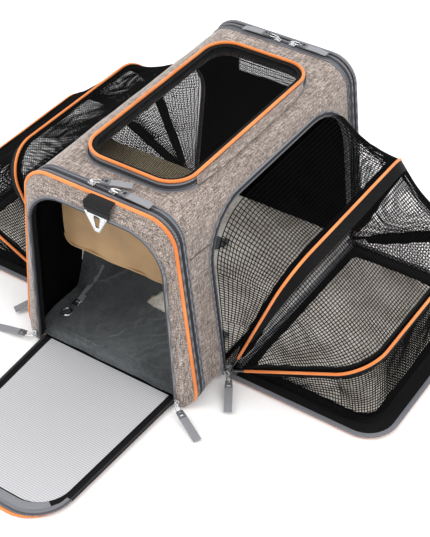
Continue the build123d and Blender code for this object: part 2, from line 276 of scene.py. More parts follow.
def outline(name, corners, rounds, steps=9):
    # A flat face with four corners, in mm, and a round at each of them.
    bpy.ops.object.select_all(action="DESELECT")
    bpy.ops.mesh.primitive_plane_add(size=1)
    piece = bpy.context.object
    piece.name = name
    for index, corner in zip((0, 1, 3, 2), corners):
        piece.data.vertices[index].co = Vector(corner) * mm
    bpy.ops.object.mode_set(mode="EDIT")
    for place, radius in enumerate(rounds):
        if radius <= 0:
            continue
        here = Vector(corners[place])
        pickWhere(piece, lambda spot: (spot - here).length < 0.01)
        first, last = Vector(corners[place - 1]) - here, Vector(corners[(place + 1) % 4]) - here
        reach = radius / math.tan(first.angle(last) / 2)
        bpy.ops.mesh.bevel(offset=reach * mm, segments=steps, affect="VERTICES")
    editDone()
    return piece


def rimOf(piece):
    # The outline's points in order, in mm; the piece itself goes.
    points = [piece.data.vertices[index].co / mm for index in piece.data.polygons[0].vertices]
    bpy.data.objects.remove(piece)
    return points


def extrudeAll(piece, shift, steps=1):
    # Pulls the whole face, or its rim once the face is gone, along a shift in mm.
    editAll(piece)
    for step in range(steps):
        move = {"value": tuple(value * mm / steps for value in shift)}
        bpy.ops.mesh.extrude_region_move(TRANSFORM_OT_translate=move)
    bpy.ops.mesh.select_all(action="SELECT")
    bpy.ops.mesh.normals_make_consistent(inside=False)
    editDone()


def dropFace(piece):
    editAll(piece)
    bpy.ops.mesh.delete(type="ONLY_FACE")
    editDone()


def facesOut(piece):
    editAll(piece)
    bpy.ops.mesh.normals_make_consistent(inside=False)
    editDone()


def hollowFace(piece, width):
    # Insets a flat face and drops its middle, which leaves a flat ring.
    editAll(piece)
    bpy.ops.mesh.inset(thickness=width * mm)
    mesh = bmesh.from_edit_mesh(piece.data)
    middle = max(mesh.faces, key=lambda face: face.calc_area())
    bmesh.ops.delete(mesh, geom=[middle], context="FACES_ONLY")
    bmesh.update_edit_mesh(piece.data)
    editDone()


def gridPiece(name, across, along):
    # A unit grid, which the caller bends into a piece of cloth.
    bpy.ops.object.select_all(action="DESELECT")
    bpy.ops.mesh.primitive_grid_add(x_subdivisions=across, y_subdivisions=along, size=1)
    bpy.context.object.name = name
    return bpy.context.object


def block(size, shift):
    # A box in mm, left in edit mode for shaping.
    bpy.ops.object.select_all(action="DESELECT")
    bpy.ops.mesh.primitive_cube_add(size=1)
    piece = bpy.context.object
    editAll(piece)
    bpy.ops.transform.resize(value=tuple(value * mm for value in size))
    bpy.ops.transform.translate(value=tuple(value * mm for value in shift))
    return piece


def splitLong(piece, longest):
    # Cuts the rim's long edges into stretches no longer than this, in mm.
    alone(piece)
    bpy.ops.object.mode_set(mode="EDIT")
    mesh = bmesh.from_edit_mesh(piece.data)
    for edge in list(mesh.edges):
        pieces = int(edge.calc_length() / mm / longest)
        if pieces > 1:
            bmesh.ops.subdivide_edges(mesh, edges=[edge], cuts=pieces - 1)
    bmesh.update_edit_mesh(piece.data)
    editDone()


def finishWith(piece, kind, **settings):
    # Adds a modifier and applies it.
    alone(piece)
    modifier = piece.modifiers.new(kind.title(), kind)
    for name, value in settings.items():
        setattr(modifier, name, value)
    bpy.ops.object.modifier_apply(modifier=modifier.name)


def cutWith(piece, cutter):
    finishWith(piece, "BOOLEAN", operation="DIFFERENCE", object=cutter, solver="EXACT")
    bpy.data.objects.remove(cutter)


def cutHole(piece, shift, corners, rounds, steps=9):
    # Cuts away an outline swept along a shift, in mm.
    hole = outline("hole", corners, rounds, steps)
    extrudeAll(hole, shift)
    cutWith(piece, hole)


def easeEdges(piece, width):
    finishWith(piece, "BEVEL", width=width * mm, segments=2, limit_method="ANGLE")


def smooth(piece, degrees=35):
    alone(piece)
    bpy.ops.object.shade_smooth_by_angle(angle=math.radians(degrees))


def paint(piece, *materials):
    piece.data.materials.clear()
    for material in materials:
        piece.data.materials.append(material)


def thicken(piece, thick, offset=0.0, degrees=35):
    # Gives a flat or bent face the thickness of its cloth, in mm.
    finishWith(piece, "SOLIDIFY", thickness=thick * mm, offset=offset)
    smooth(piece, degrees)


def asCord(piece, radius, sides=3):
    # Turns a rim of edges into a round cord.
    alone(piece)
    bpy.ops.object.convert(target="CURVE")
    piece.data.bevel_depth = radius * mm
    piece.data.bevel_resolution = sides
    piece.data.use_fill_caps = True
    bpy.ops.object.convert(target="MESH")
    smooth(piece, 60)


def wireLine(name, points, radius, closed, sides=3):
    # A round cord along a line of points, in mm.
    line = bpy.data.objects.new(name, bpy.data.meshes.new(name))
    scene.collection.objects.link(line)
    count = len(points)
    edges = [(i, (i + 1) % count) for i in range(count if closed else count - 1)]
    line.data.from_pydata([Vector(p) * mm for p in points], edges, [])
    asCord(line, radius, sides)
    return line


def place(piece, body, slot, material, *nodes):
    # Rides a finished piece on its body, paints it with the given material and hides the CAD nodes it stands for;
    # the slot is not used.
    if material:
        paint(piece, material)
    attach(piece, body)
    if nodes:
        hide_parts(*nodes)
    return piece


def mirrored(piece, name):
    twin = piece.copy()
    twin.data = piece.data.copy()
    twin.name = name
    scene.collection.objects.link(twin)
    for vertex in twin.data.vertices:
        vertex.co.x = -vertex.co.x
    twin.data.flip_normals()
    return twin


def copied(piece, name, matrix):
    twin = piece.copy()
    twin.data = piece.data.copy()
    twin.name = name
    twin.data.transform(matrix)
    scene.collection.objects.link(twin)
    return twin


def joined(name, pieces):
    bpy.ops.object.select_all(action="DESELECT")
    for piece in pieces:
        piece.select_set(True)
    bpy.context.view_layer.objects.active = pieces[0]
    bpy.ops.object.join()
    pieces[0].name = name
    return pieces[0]


def nudge(piece, shift):
    # Moves each vertex by what shift says for its place, both in mm.
    for vertex in piece.data.vertices:
        vertex.co += Vector(shift(vertex.co / mm)) * mm


def spaced(points, step, closed=True):
    # Points a step apart along a line of points, each with its direction.
    line = list(points) + ([points[0]] if closed else [])
    total = sum((b - a).length for a, b in zip(line, line[1:]))
    count = max(1, round(total / step))
    gap, found, walked, target = total / count, [], 0.0, 0.0
    for a, b in zip(line, line[1:]):
        length = (b - a).length
        while length > 0 and target <= walked + length + 1e-6 and len(found) < count + (0 if closed else 1):
            found.append((a.lerp(b, (target - walked) / length), (b - a).normalized()))
            target += gap
        walked += length
    return found


def toothed(name, points, outward, closed=True, pitch=2.3, size=(1.5, 3.4, 1.5)):
    # Small zip teeth along a line; outward gives the way each one faces.
    tooth = block(size, (0, 0, 0))
    bpy.ops.mesh.bevel(offset=0.4 * mm, segments=1, affect="EDGES")
    editDone()
    row = bmesh.new()
    for spot, along in spaced(points, pitch, closed):
        face = outward(spot).normalized()
        side = face.cross(along).normalized()
        turn = Matrix((along, side, face)).transposed().to_4x4()
        turn.translation = spot * mm
        start = len(row.verts)
        row.from_mesh(tooth.data)
        row.verts.ensure_lookup_table()
        bmesh.ops.transform(row, matrix=turn, verts=row.verts[start:])
    bpy.data.objects.remove(tooth)
    piece = bpy.data.objects.new(name, bpy.data.meshes.new(name))
    scene.collection.objects.link(piece)
    row.to_mesh(piece.data)
    row.free()
    smooth(piece, 30)
    return piece


def flatCorners(low, high, z):
    # A level rectangle from two opposite corners, each (x, y) in mm.
    return [(low[0], low[1], z), (high[0], low[1], z), (high[0], high[1], z), (low[0], high[1], z)]


def uprightCorners(low, high, y):
    # An upright rectangle from two opposite corners, each (x, z) in mm.
    return [(low[0], y, low[1]), (high[0], y, low[1]), (high[0], y, high[1]), (low[0], y, high[1])]


def tunnelCorners(inset, y, lift=0.0):
    low, high = inset + lift, cabin["height"] - inset
    halfLow = cabin["bottomWidth"] / 2 - inset - wallLean * low
    halfHigh = cabin["bottomWidth"] / 2 - inset - wallLean * high
    return [(-halfLow, y, low), (halfLow, y, low), (halfHigh, y, high), (-halfHigh, y, high)]


def tunnelRounds(inset):
    low = cabin["bottomRound"] - min(inset, 22)
    high = cabin["topRound"] - inset
    return (low, low, high, high)


def tunnelFace(name, inset, y, lift=0.0):
    return outline(name, tunnelCorners(inset, y, lift), tunnelRounds(inset))


def tunnelBand(name, inset, start, length, steps=1):
    # The tunnel's rim pulled along y.
    band = tunnelFace(name, inset, start)
    dropFace(band)
    extrudeAll(band, (0, length, 0), steps)
    return band


def tunnelCord(name, inset, y, lift, radius, sides=3):
    cord = tunnelFace(name, inset, y, lift)
    dropFace(cord)
    asCord(cord, radius, sides)
    return cord


def tunnelRim(inset, y, lift=0.0):
    return rimOf(tunnelFace("rim", inset, y, lift))


def doorCorners(inset, z, start=1.0):
    # The door lying open, seen from above.
    far = doorPlan["length"] - inset
    near, tip = doorPlan["base"] - inset, doorPlan["tip"] + doorTaper * inset - inset
    nearY, farY = doorPlan["hinge"] - start, doorPlan["hinge"] - far
    return [(-near, nearY, z), (-tip, farY, z), (tip, farY, z), (near, nearY, z)]


def openingCorners(grow, y):
    # The doorway in the front ring: the door turned up about its hinge.
    top = 6.5 + doorPlan["length"] + grow
    near, tip = doorPlan["base"] + grow, doorPlan["tip"] - doorTaper * grow + grow
    return [(-near, y, 7.5), (near, y, 7.5), (tip, y, top), (-tip, y, top)]


def panelCorners(inset, z, back=2.0):
    low = sideHinge["x"] + 1.5 + inset
    high = sideHinge["x"] + 232.0 - inset
    front, rear = arch["front"] + inset, arch["back"] + back - inset
    return flatCorners((low, front), (high, rear), z)


def hatchCorners(inset, z):
    left, right = hatchLow[0] + inset, hatchHigh[0] - inset
    front, back = hatchLow[1] + inset, hatchHigh[1] - inset
    return flatCorners((left, front), (right, back), z)


def archCorners(grow, x):
    front, back, top = arch["front"] - grow, arch["back"] + grow, 256.0 + grow
    return [(x, front, 12.0), (x, back, 12.0), (x, back, top), (x, front, top)]


print("outlines ready")


def makeShell():
    size = {"step": 14.0, "swell": 0.8, "floorHalf": 116.0, "roofHole": 8.0, "seam": [
        (118.4, -192, 225.5), (118.7, -178, 224.8), (118.9, -164, 223.6), (119.2, -148, 221.5)]}
    half = cabin["half"]
    shell = tunnelFace("cabin_shell", 0, -half)
    dropFace(shell)
    splitLong(shell, size["step"])
    extrudeAll(shell, (0, 2 * half, 0), 28)

    def soften(spot):
        fade = within((half - abs(spot.y)) / 25)
        swell = noise.noise(spot / 55) + 0.4 * noise.noise(spot / 23)
        out = Vector((spot.x, 0, spot.z - 140)).normalized()
        return out * swell * size["swell"] * fade if spot.z > 3 else Vector()

    nudge(shell, soften)
    paint(shell, heather, blackLining)
    finishWith(shell, "SOLIDIFY", thickness=cabin["wall"] * mm, offset=-1.0, material_offset=1)
    for side in (1, -1):
        cutHole(shell, (120 * side, 0, 0), archCorners(0, 60 * side), (0, 0, 88, 70))
    cutHole(shell, (0, 0, 60), hatchCorners(size["roofHole"], 260), (30,) * 4)
    edge = size["floorHalf"]
    cutHole(shell, (0, 0, 11), flatCorners((-edge, -half - 5), (edge, half + 5), -5), (0,) * 4)
    smooth(shell, 35)
    place(shell, "root", "heather_cloth", None, "body_shell")
    for side, name in ((1, "right"), (-1, "left")):
        seam = wireLine(name + "_side_seam", [(x * side, y, z) for x, y, z in size["seam"]], 0.7, False)
        place(seam, "root", "heather_cloth", seamThread)


def ringTrim(name, start, end, cordY, cordFinish, cordSlot, cordNode, coilY):
    # Zip tape round the tunnel, with its teeth, stitched edges and piping.
    size = {"tape": 3.6, "bed": 4.6, "hem": 1.3, "track": 3.6, "thread": 0.9, "wireAt": 199.0, "wire": 3.0,
            "cordOut": 2.6, "cord": 2.4}
    forward = -1 if start < 0 else 1
    tape = tunnelBand(name + "_zip_tape", 0.5, start, end - start, 2)
    finishWith(tape, "SOLIDIFY", thickness=size["tape"] * mm, offset=-1.0)
    easeEdges(tape, 0.5)
    smooth(tape)
    place(tape, "root", "zip_tape", greyTape, name + "_ring_zip")
    bed = tunnelBand(name + "_zip_bed", -0.1, coilY - size["bed"] / 2, size["bed"])
    thicken(bed, 1.0, -1.0)
    place(bed, "root", "zip_tape", coilNylon)
    teeth = toothed(name + "_zip_teeth", tunnelRim(-0.5, coilY), lambda spot: Vector((spot.x, 0, spot.z - 120)))
    place(teeth, "root", "zip_tape", coilNylon)
    for edge, lift in ((start + size["hem"], -0.3), (end - size["hem"], -0.3),
                       (coilY - size["track"], -0.4), (coilY + size["track"], -0.4)):
        seam = tunnelCord(name + "_zip_edge_%d" % round(abs(edge)), lift, edge, 0.9, size["thread"])
        place(seam, "root", "zip_tape", greyBinding)
    channel = tunnelCord(name + "_wire_channel", 10.0, forward * size["wireAt"], 0.0, size["wire"])
    place(channel, "root", "black_mesh", blackLining)
    cord = tunnelCord(name + "_piping_cord", -1.0, cordY + forward * size["cordOut"], 3.4, size["cord"], 4)
    place(cord, "root", cordSlot, cordFinish, cordNode)


def softened(piece, voxel, rounds, shift=None):
    # Turns a plain solid into sewn, padded cloth: remeshed, rounded and nudged.
    finishWith(piece, "REMESH", mode="VOXEL", voxel_size=voxel * mm)
    finishWith(piece, "SMOOTH", factor=0.5, iterations=rounds)
    if shift:
        nudge(piece, shift)
    alone(piece)
    bpy.ops.object.shade_smooth()


def edgeDistance(spot):
    # How far a point is inside the tunnel's outline.
    side = cabin["bottomWidth"] / 2 - wallLean * spot.z - abs(spot.x)
    top = cabin["height"] - spot.z
    turn = cabin["topRound"]
    if side < turn and top < turn:
        return turn - math.hypot(turn - side, turn - top)
    return min(side, top)


def makeFrontRing():
    size = {"voxel": 1.7, "depth": 13.5, "binding": 1.7, "sleeve": 5.4, "slope": 24.0, "toe": 113.8,
            "blackHigh": 13.5, "blackHalf": 109.0}
    ring = tunnelFace("front_ring_cloth", 0, -216.3)
    extrudeAll(ring, (0, -size["depth"] + 0.3, 0))
    cutHole(ring, (0, 60, 0), openingCorners(1.8, -250), (0, 0, 56, 56))
    toe = size["toe"]
    cutHole(ring, (0, 28.5, 0), uprightCorners((-toe, -5), (toe, 11), -250), (0,) * 4)

    def puff(spot):
        # The face starts at the piping and swells forward to the doorway's edge.
        depth = -217.0 - spot.y
        if depth <= 0:
            return Vector()
        rise = math.sin(min(1.0, (edgeDistance(spot) + 1.5) / size["slope"]) * math.pi / 2)
        ripple = 0.9 * noise.noise(spot / 30) + 0.4 * noise.noise(spot / 11)
        return Vector((0, depth * (1 - rise) + ripple * rise, 0))

    softened(ring, size["voxel"], 6, puff)
    paint(ring, heather, blackLining)
    for face in ring.data.polygons:
        if face.center.z < size["blackHigh"] * mm and abs(face.center.x) < size["blackHalf"] * mm:
            face.material_index = 1
    place(ring, "root", "heather_cloth", None, "front_ring")
    sleeve = tunnelBand("front_sleeve", size["sleeve"], -217, 28)
    thicken(sleeve, 1.6, -1.0)
    place(sleeve, "root", "black_mesh", blackLining)
    # binding and half zip round the doorway, open at the ground
    for name, grow, y, radius, finish in (("doorway_coil", 0.4, -228.4, 1.6, coilNylon),
                                          ("doorway_binding", 3.2, -229.2, size["binding"], greyBinding)):
        edge = outline(name, openingCorners(grow, y), (0, 0, 55 + grow, 55 + grow))
        trimWhere(edge, onGround)
        asCord(edge, radius, 4)
        place(edge, "root", "grey_binding", finish)
    band = outline("doorway_zip_tape", openingCorners(0.9, -228.5), (0, 0, 56, 56))
    trimWhere(band, onGround)
    extrudeAll(band, (0, 11, 0), 1)
    thicken(band, 1.2)
    place(band, "root", "zip_tape", blackTape)
    path = rimOf(outline("rim", openingCorners(1.7, -222.8), (0, 0, 56, 56)))
    path = openPath(path)
    teeth = toothed("doorway_zip_teeth", path, lambda spot: Vector((-spot.x, 0, 120 - spot.z)), closed=False)
    place(teeth, "root", "zip_tape", coilNylon)


def trimWhere(piece, test):
    # Drops the face and the edges that pass a test, which leaves an open line.
    dropFace(piece)
    editAll(piece)
    mesh = bmesh.from_edit_mesh(piece.data)
    gone = [edge for edge in mesh.edges if all(test(v.co / mm) for v in edge.verts)]
    bmesh.ops.delete(mesh, geom=gone, context="EDGES_FACES")
    bmesh.update_edit_mesh(piece.data)
    editDone()


def onGround(spot):
    return spot.z < 13


def openPath(points, test=onGround):
    # The rim as an open line that starts and ends where the test is passed.
    passed = [test(spot) for spot in points]
    start = [index for index, here in enumerate(passed) if here and passed[(index + 1) % len(points)]][0] + 1
    return points[start:] + points[:start]


def makeRear():
    size = {"voxel": 1.7, "windowHalf": 84.0, "windowLow": 128.0, "windowHigh": 262.0, "windowRound": 30.0,
            "sleeve": 5.4, "gap": [(-78, 150, 213), (72, 150, 215), (74, 150, 243), (-79, 150, 242)]}
    rear = tunnelFace("rear_panel_cloth", 0, rearHigh[1] - 8.8)
    extrudeAll(rear, (0, 8.8, 0))
    editAll(rear)
    pickWhere(rear, lambda spot: spot.y > rearHigh[1] - 1)
    bpy.ops.mesh.bevel(offset=5 * mm, segments=4, affect="EDGES")
    editDone()
    half, low, high = size["windowHalf"], size["windowLow"], size["windowHigh"]
    corners = uprightCorners((-half, low), (half, high), 200)
    cutHole(rear, (0, 60, 0), corners, (size["windowRound"],) * 4)
    softened(rear, size["voxel"], 5, lambda spot: Vector((0, 0.8 * noise.noise(spot / 35), 0)))
    place(rear, "root", "heather_cloth", heather, "rear_panel")
    corners = [(x, rearHigh[1] - 0.5, z) for x, y, z in corners]
    binding = outline("rear_window_binding", corners, (size["windowRound"],) * 4)
    dropFace(binding)
    asCord(binding, 2.2, 4)
    place(binding, "root", "grey_binding", greyBinding)
    net = netSheet("rear_window_net", [(x, 221, z) for x, y, z in corners], size["windowRound"], 3.2, 1.2)
    place(net, "root", "black_mesh", blackNet, "rear_window_mesh")
    sleeve = tunnelBand("rear_sleeve", size["sleeve"], 189, 28)
    thicken(sleeve, 1.6, -1.0)
    place(sleeve, "root", "black_mesh", blackLining)
    lining = tunnelFace("rear_lining", 7.2, 214.6)
    extrudeAll(lining, (0, 1.2, 0))
    cutHole(lining, (0, 100, 0), size["gap"], (5, 7, 12, 9))
    place(lining, "root", "black_mesh", blackLining)
    makeArchFlap()


def makeArchFlap():
    # the black cloth gathered at the front of the left arch
    size = {"front": -207.0, "back": -111.0, "low": 8.0, "high": 246.0}
    flap = gridPiece("left_arch_flap", 40, 70)
    for vertex in flap.data.vertices:
        along, up = vertex.co.x + 0.5, vertex.co.y + 0.5
        z = size["low"] + (size["high"] - size["low"]) * up
        y = size["front"] + (size["back"] + 5 * noise.noise(Vector((up * 4, 1, 2))) - size["front"]) * along
        fold = 2.6 * math.sin(along * 16 + 2.5 * noise.noise(Vector((up * 2.5, along * 2, 3)))) * along
        vertex.co = Vector((-cabin["bottomWidth"] / 2 + wallLean * z + 9 + fold, y, z)) * mm
    thicken(flap, 1.0, 0.0, 60)
    place(flap, "root", "black_mesh", blackLining)


def insideRound(u, v, half, high, radius):
    # Whether a point lies in a rounded rectangle centred on zero.
    du, dv = abs(u) - (half - radius), abs(v) - (high - radius)
    return du <= 0 and dv <= high or dv <= 0 and du <= radius or du * du + dv * dv <= radius * radius


def netBars(piece, bar):
    finishWith(piece, "WIREFRAME", thickness=bar * mm, use_even_offset=False, use_boundary=True)


def netSheet(name, corners, radius, pitch, bar=1.0, sag=0.0):
    # Flat netting that fills a rounded outline, as real bars.
    a, b, d = (Vector(corners[index]) for index in (0, 1, 3))
    wide, tall = (b - a).length, (d - a).length
    piece = gridPiece(name, round(wide / pitch), round(tall / pitch))
    editAll(piece)
    mesh = bmesh.from_edit_mesh(piece.data)
    outside = [v for v in mesh.verts
               if not insideRound(v.co.x * wide, v.co.y * tall, wide / 2, tall / 2, radius)]
    bmesh.ops.delete(mesh, geom=outside, context="VERTS")
    normal = (b - a).cross(d - a).normalized()
    for vertex in mesh.verts:
        u, v = vertex.co.x + 0.5, vertex.co.y + 0.5
        drop = sag * 16 * u * (1 - u) * v * (1 - v)
        vertex.co = (a + (b - a) * u + (d - a) * v - normal * drop) * mm
    bmesh.update_edit_mesh(piece.data)
    editDone()
    netBars(piece, bar)
    return piece


def hoopSpot(hoop, spot):
    # A place along a hoop: 0 to 1 up the first leg, 1 to 2 round, 2 to 3 across, 3 to 4 round, 4 to 5 down.
    front, back, reach, turn = hoop["front"], hoop["back"], hoop["reach"], hoop["round"]
    start = hoop["start"]
    if spot > 2.5:
        y, r = hoopSpot({**hoop, "front": -back, "back": -front}, 5 - spot)
        return -y, r
    if spot <= 1:
        return front, start + (reach - turn - start) * spot
    if spot <= 2:
        angle = (spot - 1) * math.pi / 2
        return front + turn * (1 - math.cos(angle)), reach - turn * (1 - math.sin(angle))
    return front + turn + (back - front - 2 * turn) * (spot - 2), reach


def sidePoint(angle, y, reach):
    turn = math.radians(angle)
    return Vector((sideHinge["x"] + reach * math.cos(turn), y, sideHinge["z"] + reach * math.sin(turn)))


sideSections = {
    "upper": {"from": arch, "to": upperHoop, "bodies": ("root", "right_hoop_upper"), "sag": 7.0, "seed": 3.0},
    "middle": {"from": upperHoop, "to": lowerHoop, "bodies": ("right_hoop_upper", "right_hoop_lower"),
               "sag": 9.0, "seed": 17.0},
    "lower": {"from": lowerHoop, "to": rimHoop, "bodies": ("right_hoop_lower", "right_panel"), "sag": 5.0,
              "seed": 31.0},
}
radialBands = {"near": (0.0, 0.5, 60.0), "mid": (0.5, 1.0, 130.0), "far": (1.0, 2.5, 222.0)}


def gussetPoint(section, spot, share):
    # A place on a side's netting: share 0 is on its first edge, 1 on its last.
    first, last = section["from"], section["to"]
    a = sidePoint(first["angle"], *hoopSpot(first, spot))
    b = sidePoint(last["angle"], *hoopSpot(last, spot))
    point = a.lerp(b, share)
    belly = 4 * share * (1 - share)
    middle = Vector((sideHinge["x"] + 95, 20, 60))
    inward = (middle - point)
    inward.x *= 0.4
    inward.normalize()
    reach = min(1.0, (a - b).length / 70)
    fold = noise.noise(Vector((spot * 3.1, share * 1.3, section["seed"])))
    crease = noise.noise(Vector((spot * 9.0 + share * 2.5, share * 3.0, section["seed"] + 5)))
    return point + inward * belly * reach * (section["sag"] + 5.0 * fold + 2.2 * crease)


def gussetGrid(name, section, start, end, rows, columns):
    piece = gridPiece(name, rows, columns)
    for vertex in piece.data.vertices:
        spot = start + (end - start) * (vertex.co.x + 0.5)
        vertex.co = gussetPoint(section, spot, vertex.co.y + 0.5) * mm
    return piece


def makeNetting():
    net = {"pitch": 4.5, "bar": 1.5, "leg": 85.0}
    for sectionName, section in sideSections.items():
        spread = abs(math.radians(section["from"]["angle"] - section["to"]["angle"]))
        for bandName, (start, end, reach) in radialBands.items():
            columns = max(3, round(spread * reach / net["pitch"]))
            rows = round(net["leg"] / net["pitch"])
            stretches = [(start, end, rows), (5 - end, 5 - start, rows)]
            if bandName == "far":
                stretches = [(1.0, 2.0, round(80 / net["pitch"])), (2.0, 3.0, round(218 / net["pitch"])),
                             (3.0, 4.0, round(84 / net["pitch"]))]
            halves = [gussetGrid("net", section, first, last, count, columns) for first, last, count in stretches]
            piece = joined("right_net_%s_%s" % (sectionName, bandName), halves)
            finishWith(piece, "WELD", merge_threshold=0.05 * mm)
            netBars(piece, net["bar"])
            twin = mirrored(piece, piece.name.replace("right", "left"))
            for item, side, sign in ((piece, "right", 1), (twin, "left", -1)):
                paint(item, blackNet)
                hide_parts(side + "_gusset")
                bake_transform(item)


def makeHoops():
    size = {"cord": 2.1, "band": 15.0, "lowBand": 6.5, "inner": 9.0}
    for hoopName, hoop, section, wide in (("upper", upperHoop, "middle", size["band"]),
                                          ("lower", lowerHoop, "lower", size["lowBand"])):
        points = [sidePoint(hoop["angle"], *hoopSpot(hoop, 5 * step / 80)) for step in range(81)]
        cord = wireLine("right_%s_hoop_piping" % hoopName, points[2:-2], size["cord"], False, 4)
        across = sidePoint(sideSections[section]["to"]["angle"], 0, 215) - sidePoint(hoop["angle"], 0, 215)
        share = wide / across.length
        band = bandStrip("right_%s_hoop_band" % hoopName, sideSections[section], 0.4, 4.6, share)
        inner = channelStrip("right_%s_hoop_channel" % hoopName, hoop, size["inner"])
        for side in ("right", "left"):
            body = side + "_hoop_" + hoopName
            items = [cord, band, inner]
            if side == "left":
                items = [mirrored(item, item.name.replace("right", "left")) for item in items]
            place(items[0], body, "orange_piping", orangeCord)
            place(items[1], body, "black_mesh", blackTape)
            place(items[2], body, "black_mesh", blackTape)


def channelStrip(name, hoop, half):
    # The cloth channel on the inner side of a hoop, which hides its wire from inside.
    piece = gridPiece(name, 110, 4)
    for vertex in piece.data.vertices:
        spot = 0.15 + 4.7 * (vertex.co.x + 0.5)
        y, reach = hoopSpot(hoop, spot)
        fringe = 1.3 * noise.noise(Vector((spot * 14, vertex.co.y * 3, half)))
        swing = math.degrees((vertex.co.y * 2 * half + fringe) / max(reach, 60.0))
        inY = 3.2 if spot < 1 else (-3.2 if spot > 4 else 3.2 * (2.5 - spot) / 1.5)
        inReach = 3.2 * min(1.0, max(0.0, spot - 0.8), max(0.0, 4.2 - spot))
        vertex.co = sidePoint(hoop["angle"] + swing, y + inY, reach - inReach) * mm
    facesOut(piece)
    thicken(piece, 0.9, 0.0, 50)
    return piece


def bandStrip(name, section, start, end, share):
    # Binding tape sewn along one edge of a side's netting.
    piece = gridPiece(name, 110, 4)
    for vertex in piece.data.vertices:
        spot = start + (end - start) * (vertex.co.x + 0.5)
        taper = min(1.0, 0.35 + 1.2 * min(spot, 5 - spot))
        vertex.co = gussetPoint(section, spot, (vertex.co.y + 0.5) * share * taper) * mm
    facesOut(piece)
    thicken(piece, 1.9, 0.0, 40)
    return piece


def makeArchZips():
    size = {"tape": 7.2, "bed": 2.2, "thick": 2.2, "coil": 3.9}

    def onWall(spot):
        # The wall leans, and turns over into the roof.
        z = spot.z
        x = cabin["bottomWidth"] / 2 - wallLean * z
        turnStart = cabin["height"] - cabin["topRound"]
        if z > turnStart:
            r = cabin["topRound"]
            x -= r - math.sqrt(max(0.0, r * r - (z - turnStart) ** 2))
        return x

    for start, width, lift, name, finish in (
            (0.0, size["tape"], size["thick"], "zip_tape", greyTape),
            (2.6, size["bed"], size["thick"] + 0.7, "zip_bed", coilNylon)):
        grow = start + width
        tape = outline("right_arch_" + name, archCorners(grow, 100), (0, 0, 88 + grow, 70 + grow))
        hollowFace(tape, width)
        editAll(tape)
        mesh = bmesh.from_edit_mesh(tape.data)
        low = [f for f in mesh.faces if all(v.co.z < (12.5 + width) * mm for v in f.verts)]
        bmesh.ops.delete(mesh, geom=low, context="FACES")
        bmesh.ops.subdivide_edges(mesh, edges=[e for e in mesh.edges if e.calc_length() > 25 * mm], cuts=6,
                                  use_grid_fill=True)
        for vertex in mesh.verts:
            vertex.co.x = (onWall(vertex.co / mm) + lift) * mm
        bmesh.update_edit_mesh(tape.data)
        bpy.ops.mesh.select_all(action="SELECT")
        bpy.ops.mesh.normals_make_consistent(inside=False)
        mesh = bmesh.from_edit_mesh(tape.data)
        if sum(face.normal.x for face in mesh.faces) < 0:
            bpy.ops.mesh.flip_normals()
        editDone()
        thicken(tape, size["thick"] + 0.6, -1.0)
        place(tape, "root", "zip_tape", finish, *(["right_arch_zip"] if name == "zip_tape" else []))
        twin = mirrored(tape, tape.name.replace("right", "left"))
        place(twin, "root", "zip_tape", finish, *(["left_arch_zip"] if name == "zip_tape" else []))
    path = openPath(rimOf(outline("rim", archCorners(size["coil"], 100), (0, 0, 92, 74))))
    path = [Vector((onWall(p) + size["thick"] + 0.9, p.y, p.z)) for p in path]
    teeth = toothed("right_arch_zip_teeth", path, lambda spot: Vector((1, 0, 0.1)), closed=False)
    place(teeth, "root", "zip_tape", coilNylon)
    place(mirrored(teeth, "left_arch_zip_teeth"), "root", "zip_tape", coilNylon)
    # stitched edge of the opening, where the netting is caught
    edge = outline("right_arch_binding", archCorners(-0.6, 100), (0, 0, 86, 68))
    trimWhere(edge, onGround)
    editAll(edge)
    mesh = bmesh.from_edit_mesh(edge.data)
    bmesh.ops.subdivide_edges(mesh, edges=[e for e in mesh.edges if e.calc_length() > 20 * mm], cuts=8)
    for vertex in mesh.verts:
        vertex.co.x = (onWall(vertex.co / mm) + 0.4) * mm
    bmesh.update_edit_mesh(edge.data)
    editDone()
    asCord(edge, 2.0, 4)
    place(edge, "root", "grey_binding", greyBinding)
    place(mirrored(edge, "left_arch_binding"), "root", "grey_binding", greyBinding)


